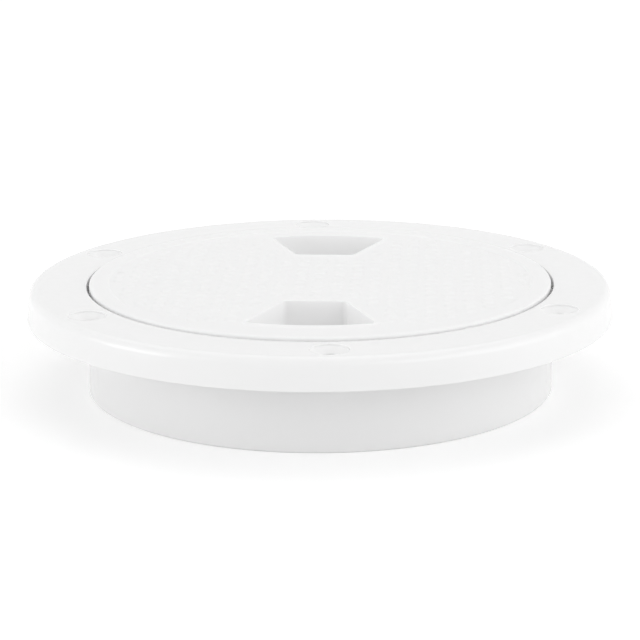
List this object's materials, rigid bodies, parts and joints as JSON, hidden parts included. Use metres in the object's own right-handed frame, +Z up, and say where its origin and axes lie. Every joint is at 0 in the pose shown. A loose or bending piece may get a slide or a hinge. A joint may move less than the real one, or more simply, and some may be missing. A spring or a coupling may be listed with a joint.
{
  "type": "screw-out deck inspection plate",
  "caption": "Round white plastic deck plate: a flanged, threaded ring with countersunk screw holes and a screw-in lid with anti-slip grip and finger recesses.",
  "frame": {"origin": "centre of the flange's underside, on the surface of the deck", "axes": "+Z points up out of the deck along the thread's axis; a screw hole lies on +Y and one on -Y"},
  "size_m": [0.143, 0.143, 0.0266],
  "materials": {
    "ring_plastic": "white ABS, glossy as moulded",
    "cover_plastic": "white ABS, glossy rim, fine-grained grip",
    "seal_rubber": "black rubber, slightly greased"
  },
  "bodies": {
    "ring": {"deck_ring": "ring_plastic"},
    "seal": {"o_ring": "seal_rubber"},
    "lid": {"cover": "cover_plastic"}
  },
  "joints": [
    {"name": "cover_lift", "type": "slide", "parent": "ring", "child": "seal", "axis": [0, 0, 1], "range_m": [0, 0.01125]},
    {"name": "cover_turn", "type": "hinge", "parent": "seal", "child": "lid", "pos_m": [0, 0, 0], "axis": [0, 0, 1], "range_deg": [0, 900]}
  ],
  "couplings": [
    {"joint": "cover_lift", "follows": "cover_turn", "m_per_rad": 0.0007162}
  ]
}
